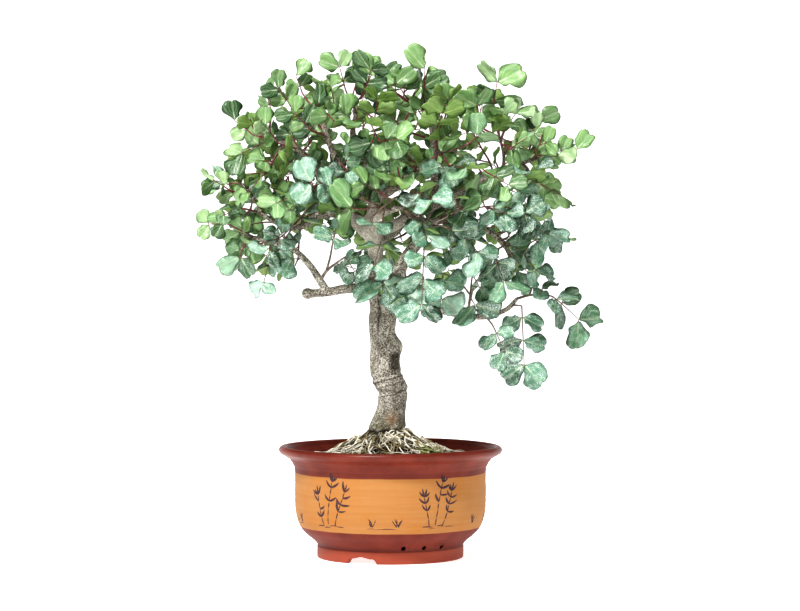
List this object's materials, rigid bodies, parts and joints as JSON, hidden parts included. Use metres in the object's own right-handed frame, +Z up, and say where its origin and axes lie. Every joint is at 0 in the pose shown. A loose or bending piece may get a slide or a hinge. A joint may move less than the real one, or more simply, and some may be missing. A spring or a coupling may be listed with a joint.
{
  "type": "carob bonsai in a pot",
  "caption": "Carob bonsai with a twisted trunk, spreading limbs and paired round leaflets, in a round clay pot on short feet.",
  "frame": {"origin": "on the ground under the middle of the whole tree's bounding box", "axes": "+Z up the tree, -Y towards the front, +X to the right seen from the front"},
  "size_m": [0.4508, 0.317, 0.5716],
  "materials": {
    "clay": "unglazed red-brown clay with a satin rim and a slip band",
    "mesh_plastic": "matte",
    "soil": "loose dark soil",
    "bark": "fine rough grey-beige bark",
    "fresh_foliage": "leathery light green leaflets",
    "old_foliage": "leathery blue-green leaflets with a pale bloom"
  },
  "bodies": {
    "root": {"pot": "clay", "drain_mesh": "mesh_plastic", "soil": "soil", "trunk_and_limbs": "bark", "spray_hero_1": "old_foliage", "spray_hero_2": "old_foliage", "spray_hero_3": "old_foliage", "spray_hero_4": "old_foliage", "spray_hero_5": "old_foliage", "spray_hero_6": "old_foliage", "spray_hero_7": "old_foliage", "spray_hero_8": "old_foliage", "spray_crown_1": "fresh_foliage", "spray_crown_2": "fresh_foliage", "spray_crown_5": "fresh_foliage", "spray_crown_12": "fresh_foliage", "spray_crown_13": "fresh_foliage", "spray_right_1": "old_foliage", "spray_right_3": "old_foliage", "spray_right_4": "old_foliage", "spray_right_6": "old_foliage", "spray_front_3": "old_foliage", "spray_front_10": "old_foliage", "spray_front_18": "old_foliage", "spray_front_20": "old_foliage", "spray_front_24": "old_foliage", "spray_left_1": "fresh_foliage", "spray_left_3": "fresh_foliage", "spray_left_5": "fresh_foliage", "spray_left_6": "fresh_foliage", "spray_left_7": "fresh_foliage", "spray_left_9": "fresh_foliage", "spray_left_10": "fresh_foliage", "spray_left_12": "fresh_foliage", "spray_back_1": "fresh_foliage", "spray_back_2": "fresh_foliage", "spray_back_3": "fresh_foliage", "spray_back_7": "fresh_foliage", "spray_back_8": "fresh_foliage", "spray_back_11": "fresh_foliage", "spray_back_12": "fresh_foliage", "spray_back_13": "fresh_foliage", "spray_back_15": "fresh_foliage", "spray_back_16": "fresh_foliage", "spray_back_18": "fresh_foliage"}
  },
  "joints": []
}
